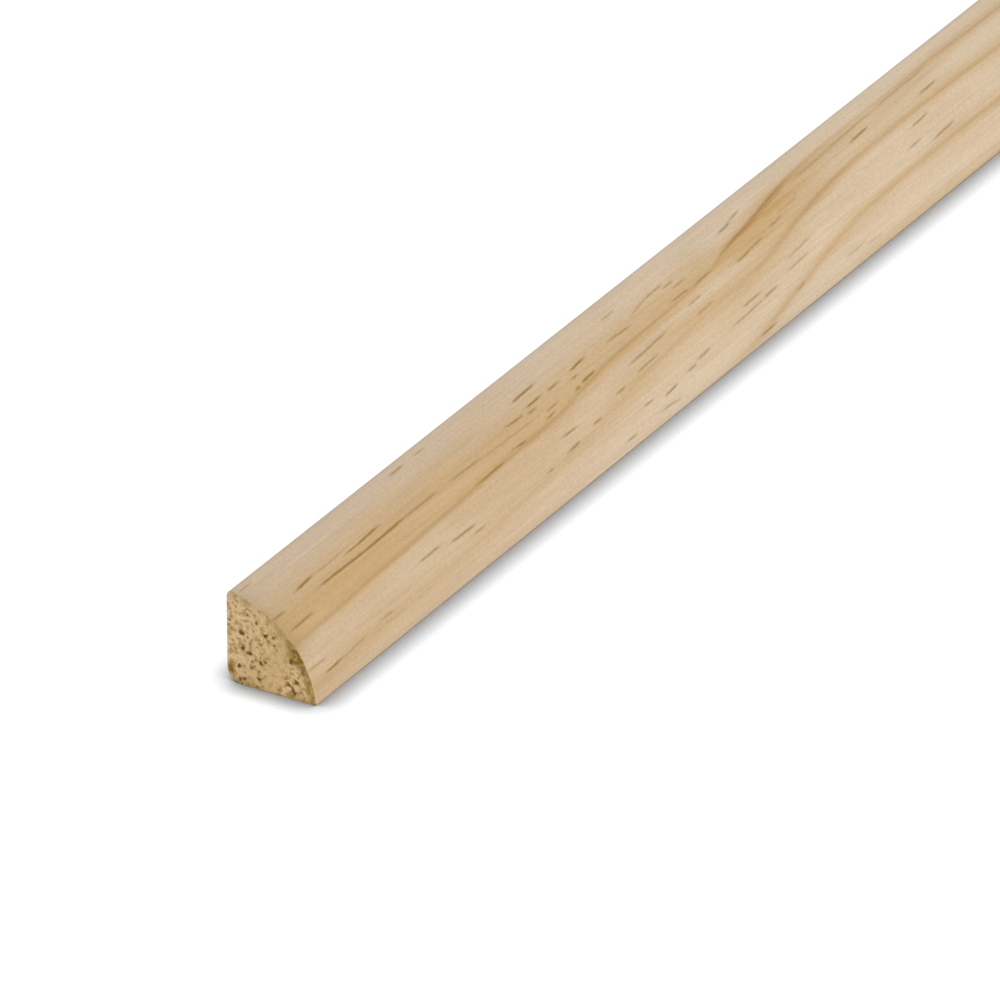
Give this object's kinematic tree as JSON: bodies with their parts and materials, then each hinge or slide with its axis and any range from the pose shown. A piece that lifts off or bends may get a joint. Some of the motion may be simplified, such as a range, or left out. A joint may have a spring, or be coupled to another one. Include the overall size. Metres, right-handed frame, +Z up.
{
  "type": "quarter round moulding",
  "caption": "Straight length of solid pine quarter round trim with two flat backs and a convex face, covering the joint between a floor and a wall or skirting.",
  "frame": {"origin": "under the middle of the stick's length, on the floor plane, at the centre of the floor flat's width", "axes": "+Y along the grain, +X from the wall flat towards the toe of the curved face, +Z up from the floor flat"},
  "size_m": [0.019, 2.4384, 0.0189],
  "materials": {
    "pine": "planed, unfinished, sawn ends"
  },
  "bodies": {
    "root": {"quarter_round": "pine"}
  },
  "joints": []
}
